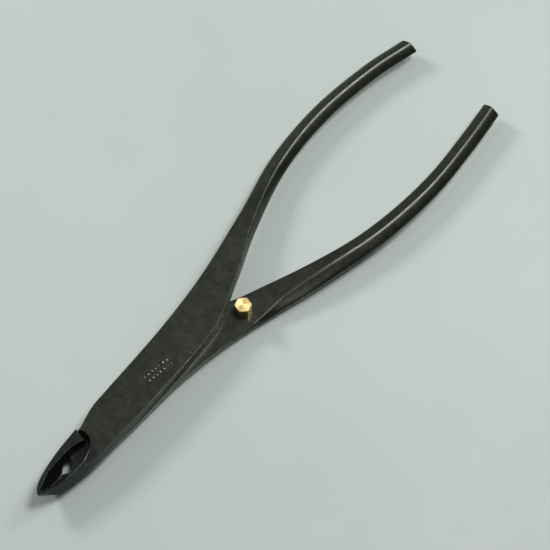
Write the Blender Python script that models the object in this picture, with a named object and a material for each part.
"""Slim forged branch nippers: two lapped levers on a flush rivet, with a brass stop screw.

Frame: the pivot axis is the Z axis, +X runs along the tool to the jaw tips, and z = 0 is the
plane that the tool lies on. The upper lever carries the handle on the -Y side and the jaw on
the +Y side, the lower lever the other way round. All lengths below are in millimetres.
"""
import math

import bmesh
import bpy

MM = 0.001

# Driving dimensions of the closed tool
HEIGHT = 8.8              # both lapped plates together
MID = HEIGHT / 2
LAP_GAP = 0.3             # running clearance between the two plates
JAW_GAP = 0.3             # clearance between the closed cutting edges
TIP = 39.7

# Side lines at their widest level, as (x, y); those of the lower lever are given turned over
UPPER_OUTER = [(-167, -18.6), (-150, -22.5), (-126, -25.0), (-102, -23.3), (-78, -17.2),
               (-54, -12.0), (-30, -9.3), (0, -8.1), (6, -7.8), (14.5, -5.7), (30, -3.5), (TIP, -0.5)]
UPPER_INNER = [(-167, -12.2), (-150, -16.1), (-126, -18.5), (-102, -16.5), (-78, -9.3),
               (-60, -1.6), (-44, 4.3), (-30, 5.9), (0, 6.5), (20, 6.2), (26, 5.4),
               (31, 4.5), (35, 3.4), (38, 1.9), (TIP, 0.5)]
LOWER_OUTER = [(-165.8, -25.0), (-150, -26.9), (-128, -28.2), (-104, -26.2), (-80, -20.9),
               (-56, -13.9), (-44, -10.9), (-32, -8.8), (-20, -7.4), (6, -6.5), (14.5, -5.7),
               (30, -3.5), (TIP, -0.5)]
LOWER_INNER = [(-165.8, -18.5), (-152, -20.1), (-134, -21.4), (-116, -20.5), (-98, -17.5),
               (-80, -11.8), (-60, -3.3), (-44, 3.6), (-30, 5.8), (0, 6.5), (20, 6.6), (26, 6.3),
               (31, 5.6), (35, 4.5), (38, 2.7), (TIP, 0.8)]

# Levels of the upper lever above mid height, as (x, mm): face side, joint side and widest level
FACE_LEVEL = [(-166, 2.5), (-104, 2.6), (-84, 3.5), (-68, 4.3), (-60, MID), (TIP, MID)]
JOINT_LEVEL = [(-166, -2.5), (-96, -2.5), (-84, -2.1), (-68, -0.6), (-58, 0.2), (-52, 0.1),
               (10, -MID), (TIP, -MID)]
WIDEST_LEVEL = [(-166, 0), (-84, 0), (-66, 0.8), (-56, 1.8), (-46, 1.0), (-30, 0), (TIP, 0)]

# The handle is a pointed oval with a ridge along its top and bottom. Towards the joint each
# ridge moves out to one edge of the plate: share of the way, and how square the section is.
FACE_RIDGE = [(-166, 0), (-120, 0), (-112, 0.1), (-94, 0.36), (-80, 0.72), (-64, 1), (TIP, 1)]
JOINT_RIDGE = [(-166, 0), (-92, 0), (-80, 0.13), (-66, 0.4), (-58, 0.8), (-50, 1), (TIP, 1)]
SQUARE = [(-166, 0), (-112, 0), (-96, 0.3), (-80, 0.85), (-66, 1), (TIP, 1)]
RIDGE_PITCH = math.radians(25)
RIDGE_BLUNT = 0.4         # how far the rounding reaches either side of a ridge or edge
DRAFT = [(-166, 0.6), (13, 0.6)]
JAW_TOP_DRAFT = [(24, 1.1), (34, 1.3), (TIP, 0.4)]
JAW_BOTTOM_DRAFT = [(22, 1.3), (32, 2.1), (TIP, 1.3)]
END_ROUND = 1.6           # rounding of the handle ends

# Lap joint
LAP_STARTS = -58
SHOULDER_RADIUS = 16.1    # full-height jaw shoulder, about the pivot
PLATE_NOSE_RADIUS = 15.2  # nose of the half-height plate, about the pivot
RECESS_CENTRE = (18.7, -2.6)
RECESS_RADIUS = 4.8

# Jaws: the hollow between them as (x, rim half width, root half width, root height)
HOLLOW = [(15.3, 0.7, 0.5, 4.3), (16.6, 1.65, 1.4, 4.2), (18.2, 2.15, 1.8, 4.1), (20.5, 2.8, 2.2, 3.9),
          (22.5, 2.95, 1.9, 3.8), (25.3, 3.0, 1.6, 3.8), (27.5, 3.0, 0.9, 3.9),
          (29, 3.0, 0.25, 4.1), (31, 2.85, 0.2, 4.2), (33, 2.5, 0.2, 4.1), (34.7, 1.95, 0.2, 5.0),
          (36.6, 1.15, 0.2, 6.8), (38.3, 0.4, 0.2, 8.1)]
WALL_HOLLOW = 0.4         # share of the wall's run that lies above half its depth
THROUGH_HOLE = [(22.2, -1.35), (24.75, -2.9), (28.55, -0.25), (25.8, 1.5)]
HOLE_LEVEL = 4.1
HOLE_TOP = 5.5
HOLE_LEAN = (0.25, 0.31)
CHIN_START = 31.4         # the underside turns up to the tip here
CHIN_SAGITTA = 1.0
TIP_DEPTH = 0.75
BELLY_CENTRE = (28, 0, -1.2)
BELLY_RADII = (9.5, 3.6, 4.6)

# Rivet and stop screw
RIVET_RADIUS = 2.8
RIVET_HEAD_RADIUS = 3.9
RIVET_HEAD_DEPTH = 1.2
FIT_GAP = 0.3
STOP_CENTRE = (-53.7, 6.3)
STOP_ACROSS_FLATS = 4.95
STOP_TURN = -45           # degrees, direction of one corner of the hexagon
STOP_CHAMFER = 0.2
STOP_SHANK_RADIUS = 1.7
THREAD_DEPTH = 0.22
THREAD_PITCH = 0.8
SCREW_BASE = 0.35         # the screw ends this far above the resting plane

STEEL = (0.035, 0.038, 0.038)
BRASS = (0.80, 0.62, 0.28)


def clear_scene():
    for obj in list(bpy.data.objects):
        bpy.data.objects.remove(obj, do_unlink=True)


def material(name, colour, roughness, metallic):
    mat = bpy.data.materials.new(name)
    mat.use_nodes = True
    shader = mat.node_tree.nodes["Principled BSDF"]
    shader.inputs["Base Color"].default_value = (*colour, 1)
    shader.inputs["Roughness"].default_value = roughness
    shader.inputs["Metallic"].default_value = metallic
    return mat


def smooth_value(points, x):
    """Value at x of a smooth curve through (x, value) points."""
    last = len(points) - 1
    x = min(max(x, points[0][0]), points[last][0])
    i = 0
    while i < last - 1 and x > points[i + 1][0]:
        i += 1

    def slope(k):
        low, high = max(k - 1, 0), min(k + 1, last)
        return (points[high][1] - points[low][1]) / (points[high][0] - points[low][0])

    (x0, y0), (x1, y1) = points[i], points[i + 1]
    run = x1 - x0
    t = (x - x0) / run
    return (y0 * (1 + 2 * t) * (1 - t) ** 2 + slope(i) * run * t * (1 - t) ** 2
            + y1 * t * t * (3 - 2 * t) - slope(i + 1) * run * t * t * (1 - t))


def add_object(name, bm, mat=None):
    bmesh.ops.scale(bm, vec=(MM, MM, MM), verts=bm.verts)
    bmesh.ops.recalc_face_normals(bm, faces=bm.faces)
    mesh = bpy.data.meshes.new(name)
    bm.to_mesh(mesh)
    bm.free()
    obj = bpy.data.objects.new(name, mesh)
    bpy.context.collection.objects.link(obj)
    if mat is not None:
        mesh.materials.append(mat)
    return obj


def loft(rings):
    """Closed solid through rings of equally many points."""
    bm = bmesh.new()
    loops = [[bm.verts.new(point) for point in ring] for ring in rings]
    count = len(loops[0])
    for a, b in zip(loops, loops[1:]):
        for k in range(count):
            n = (k + 1) % count
            bm.faces.new((a[k], a[n], b[n], b[k]))
    bm.faces.new(loops[0])
    bm.faces.new(loops[-1])
    return bm


def make_cutter(name, bm):
    obj = add_object(name, bm)
    obj.hide_render = True
    obj.display_type = "WIRE"
    return obj


def cut(obj, cutter, operation="DIFFERENCE"):
    modifier = obj.modifiers.new(cutter.name, "BOOLEAN")
    modifier.operation = operation
    modifier.solver = "EXACT"
    modifier.object = cutter


def flipped(ring):
    """A ring turned half a turn about the tool's centre line, for the lower lever."""
    return [(x, -y, HEIGHT - z) for x, y, z in ring]


# Lever blanks

def bezier(points, t):
    """Point at t on a cubic curve."""
    weights = ((1 - t) ** 3, 3 * t * (1 - t) ** 2, 3 * t * t * (1 - t), t ** 3)
    return tuple(sum(w * p[i] for w, p in zip(weights, points)) for i in (0, 1))


def between(a, b, t):
    return (a[0] + (b[0] - a[0]) * t, a[1] + (b[1] - a[1]) * t)


def section_side(half, draft, widest, level, ridge, square, blunt):
    """Half of a section, from the widest point beside the ridge to the other widest point."""
    draft = min(draft, half * 0.6)
    top = (ridge * (half - draft), level)
    lift = level - widest

    def facet(side):
        near, reach = (side * half, widest), side * half - top[0]
        pitch = math.copysign(abs(reach) * math.tan(RIDGE_PITCH) * 0.5, lift)
        return (near, (near[0], widest + lift * 0.36), (top[0] + reach * 0.5, level - pitch), top)

    steep, shallow = facet(1), facet(-1)
    start = blunt / max(abs(steep[0][0] - top[0]), abs(lift))
    points = [between(bezier(steep, t), between(steep[0], top, t), ridge)
              for t in (0, 0.3, 0.6, 1 - start)]
    edge = (draft - half, level)
    drop = between(edge, (-half, widest), min(blunt / abs(lift), 0.4))
    rim = min(blunt / (top[0] - edge[0]), 0.4)
    flat = [between(top, edge, rim), between(top, edge, 0.5), between(top, edge, 1 - rim), drop]
    for t, corner in zip((0.12, 0.36, 0.6, 0.8), flat):
        points.append(between(bezier(shallow, 1 - t), corner, square))
    points.append((-half, widest))
    return points


def lever_section(x, sides, drafts, inset):
    """Ring of points around an upper lever at station x."""
    outer, inner = (smooth_value(side, x) for side in sides)
    centre = (outer + inner) / 2
    half = (inner - outer) / 2 - inset
    widest = smooth_value(WIDEST_LEVEL, x)
    square = min(smooth_value(SQUARE, x), 1)
    face = min(smooth_value(FACE_LEVEL, x), MID) - inset
    joint = max(smooth_value(JOINT_LEVEL, x), -MID) + inset
    ring = section_side(half, smooth_value(drafts[0], x), widest, face,
                        smooth_value(FACE_RIDGE, x), square, RIDGE_BLUNT)
    under = section_side(half, smooth_value(drafts[1], x), widest, joint,
                         smooth_value(JOINT_RIDGE, x), square, RIDGE_BLUNT)
    ring += [(-y, z) for y, z in under[1:-1]]
    return [(x, centre + y, MID + z) for y, z in ring]


def lever_stations(end):
    """(x, inset) pairs: rounded handle end, then handle, plate and jaw."""
    rounded = []
    for degrees in (0, 30, 60):
        angle = math.radians(degrees)
        rounded.append((end + END_ROUND * (1 - math.cos(angle)), END_ROUND * 0.6 * (1 - math.sin(angle))))
    stations = [round(end) + 3 + 5 * i for i in range(20)]
    stations += [-65, -61, -58, -55, -52, -47, -42, -36, -30, -20, -10, 0, 6]
    stations += [11, 14, 17, 20, 23, 26, 29, 31, 33, 35, 36.5, 37.8, 38.8, TIP]
    return rounded + [(x, 0) for x in stations if x > end + END_ROUND]


def lever_blank(name, sides, drafts, turn, mat):
    rings = []
    for x, inset in lever_stations(sides[0][0][0]):
        rings.append(turn(lever_section(x, sides, drafts, inset)))
    obj = add_object(name, loft(rings), mat)
    obj.data.shade_smooth()
    obj.data.set_sharp_from_angle(angle=math.radians(35))
    return obj


# Cutters of the lap joint

def prism_along_y(profile, half_width):
    return [[(x, y, z) for x, z in profile] for y in (-half_width, half_width)]


def prism_along_z(outline, low, high):
    return [[(x, y, z) for x, y in outline] for z in (low, high)]


def arc(radius, start, end, steps, centre=(0, 0)):
    points = []
    for k in range(steps + 1):
        angle = math.radians(start + (end - start) * k / steps)
        points.append((centre[0] + radius * math.cos(angle), centre[1] + radius * math.sin(angle)))
    return points


def lap_rings():
    """Space under the upper lever's plate."""
    flat = MID + LAP_GAP / 2
    return prism_along_y([(LAP_STARTS, -2), (LAP_STARTS, flat), (30, flat), (30, -2)], 40)


def shoulder_rings():
    """Plan of the half-height plate, which ends at the round shoulder of the jaw."""
    outline = arc(SHOULDER_RADIUS, -90, 90, 28) + [(-110, SHOULDER_RADIUS), (-110, -SHOULDER_RADIUS)]
    wide = [(x, y * 2 if x < 0 else y) for x, y in outline]
    return prism_along_z(wide, -3, HEIGHT + 3)


def other_jaw_rings():
    """Room for the lower lever's jaw, beyond the round nose of the upper plate."""
    gap = JAW_GAP / 2
    start = math.degrees(math.asin(gap / PLATE_NOSE_RADIUS))
    nose = arc(PLATE_NOSE_RADIUS, start, -60, 16)
    outline = nose + [(nose[-1][0], -30), (50, -30), (50, gap)]
    return prism_along_z(outline, -3, HEIGHT + 3)


def lap_cutter(name, turn):
    lap = make_cutter(name, loft([turn(ring) for ring in lap_rings()]))
    plan = make_cutter(name + "_plan", loft([turn(ring) for ring in shoulder_rings()]))
    cut(lap, plan, "INTERSECT")
    return lap


# Cutters of the jaws

def hollow_cutter():
    rings = []
    for x, rim, root, depth in HOLLOW:
        top = HEIGHT + 1
        half = (HEIGHT + depth) / 2
        waist = root + (rim - root) * (1 - WALL_HOLLOW)
        side = [(rim, top), (rim, HEIGHT), (waist, half), (root, depth)]
        ring = [(x, y, z) for y, z in side]
        ring += [(x, -y, z) for y, z in reversed(side)]
        rings.append(ring)
    return make_cutter("jaw_hollow_cutter", loft(rings))


def chin_cutter():
    """Turned-up underside of the jaws, a shallow hollow from the belly to the tip."""
    steps = 8
    end_x, end_z = TIP + 0.4, HEIGHT - TIP_DEPTH
    curve = []
    for k in range(steps + 1):
        t = k / steps
        bow = 4 * t * (1 - t) * CHIN_SAGITTA
        curve.append((CHIN_START + (end_x - CHIN_START) * t - bow * 0.7, end_z * t + bow * 0.7))
    profile = [(CHIN_START - 2, -2)] + curve + [(TIP + 4, end_z), (TIP + 4, -2)]
    return make_cutter("jaw_chin_cutter", loft(prism_along_y(profile, 20)))


def belly_cutter():
    bm = bmesh.new()
    bmesh.ops.create_uvsphere(bm, u_segments=24, v_segments=14, radius=1)
    bmesh.ops.scale(bm, vec=BELLY_RADII, verts=bm.verts)
    bmesh.ops.translate(bm, vec=BELLY_CENTRE, verts=bm.verts)
    return make_cutter("jaw_belly_cutter", bm)


def hole_cutter():
    """Slanting hole through the jaws' web; THROUGH_HOLE is its outline at HOLE_LEVEL."""
    rings = []
    for z in (-1, HOLE_TOP):
        rise = z - HOLE_LEVEL
        rings.append([(x + HOLE_LEAN[0] * rise, y + HOLE_LEAN[1] * rise, z) for x, y in THROUGH_HOLE])
    return make_cutter("jaw_hole_cutter", loft(rings))


def round_cutter(name, centre, profile, segments=32):
    rings = []
    for radius, z in profile:
        rings.append([(x, y, z) for x, y in arc(radius, 0, 360 - 360 / segments, segments - 1, centre)])
    return make_cutter(name, loft(rings))


# Rivet and stop screw

def rivet_profile(clearance):
    head = RIVET_HEAD_RADIUS + clearance
    shank = RIVET_RADIUS + clearance
    low, high = RIVET_HEAD_DEPTH, HEIGHT - RIVET_HEAD_DEPTH
    return [(head, 0), (shank, low), (shank, high), (head, HEIGHT)]


def rivet_hole_cutter():
    profile = rivet_profile(FIT_GAP)
    wide = profile[0][0]
    return round_cutter("rivet_hole_cutter", (0, 0), [(wide, -1)] + profile + [(wide, HEIGHT + 1)])


def pivot_rivet(mat):
    rings = []
    for radius, z in rivet_profile(0):
        rings.append([(x, y, z) for x, y in arc(radius, 0, 360 - 360 / 32, 31)])
    obj = add_object("pivot_rivet", loft(rings), mat)
    obj.data.shade_smooth()
    obj.data.set_sharp_from_angle(angle=math.radians(35))


def hexagon_ring(radius, z, cap_radius):
    """Hexagon whose points are held inside a circle, as a turned chamfer leaves it."""
    ring = []
    sides = 36
    for k in range(sides):
        angle = math.radians(STOP_TURN + 360 * k / sides)
        from_flat = math.radians((360 * k / sides) % 60 - 30)
        reach = min(radius * math.cos(math.radians(30)) / math.cos(from_flat), cap_radius)
        ring.append((STOP_CENTRE[0] + reach * math.cos(angle),
                     STOP_CENTRE[1] + reach * math.sin(angle), z))
    return ring


def thread_rings(low, high):
    rings = []
    turns = int((high - low) / THREAD_PITCH)
    for k in range(2 * turns + 1):
        radius = STOP_SHANK_RADIUS - (THREAD_DEPTH if k % 2 else 0)
        rings.append(hexagon_ring(10, low + k * (high - low) / (2 * turns), radius))
    return rings


def stop_screw(mat):
    corner = STOP_ACROSS_FLATS / 2 / math.cos(math.radians(30))
    flat = STOP_ACROSS_FLATS / 2 + 0.12
    base = MID - LAP_GAP / 2 + 0.3
    rings = thread_rings(SCREW_BASE, base - 0.3)
    rings += [hexagon_ring(corner, base, flat), hexagon_ring(corner, base + STOP_CHAMFER, corner)]
    rings += [hexagon_ring(corner, HEIGHT - STOP_CHAMFER, corner), hexagon_ring(corner, HEIGHT, flat)]
    obj = add_object("stop_screw", loft(rings), mat)
    obj.data.shade_smooth()
    obj.data.set_sharp_from_angle(angle=math.radians(25))


def build():
    clear_scene()
    steel = material("black_steel", STEEL, 0.42, 0.6)
    brass = material("brass", BRASS, 0.28, 1.0)
    shared = [chin_cutter(), belly_cutter(), hollow_cutter(), hole_cutter(), rivet_hole_cutter()]

    top, bottom = DRAFT + JAW_TOP_DRAFT, DRAFT + JAW_BOTTOM_DRAFT
    upper = lever_blank("upper_lever", (UPPER_OUTER, UPPER_INNER), (top, bottom), list, steel)
    lower = lever_blank("lower_lever", (LOWER_OUTER, LOWER_INNER), (bottom, top), flipped, steel)
    for lever, turn, side in ((upper, list, "upper"), (lower, flipped, "lower")):
        cut(lever, lap_cutter(side + "_lap_cutter", turn))
        rings = [turn(ring) for ring in other_jaw_rings()]
        cut(lever, make_cutter(side + "_jaw_room_cutter", loft(rings)))
        for cutter in shared:
            cut(lever, cutter)

    recess = [(RECESS_RADIUS, MID + LAP_GAP / 2), (RECESS_RADIUS, HEIGHT + 1)]
    cut(upper, round_cutter("recess_cutter", RECESS_CENTRE, recess, 40))
    bore = STOP_SHANK_RADIUS + FIT_GAP
    cut(lower, round_cutter("screw_hole_cutter", STOP_CENTRE, [(bore, -1), (bore, HEIGHT)], 24))

    pivot_rivet(steel)
    stop_screw(brass)


build()
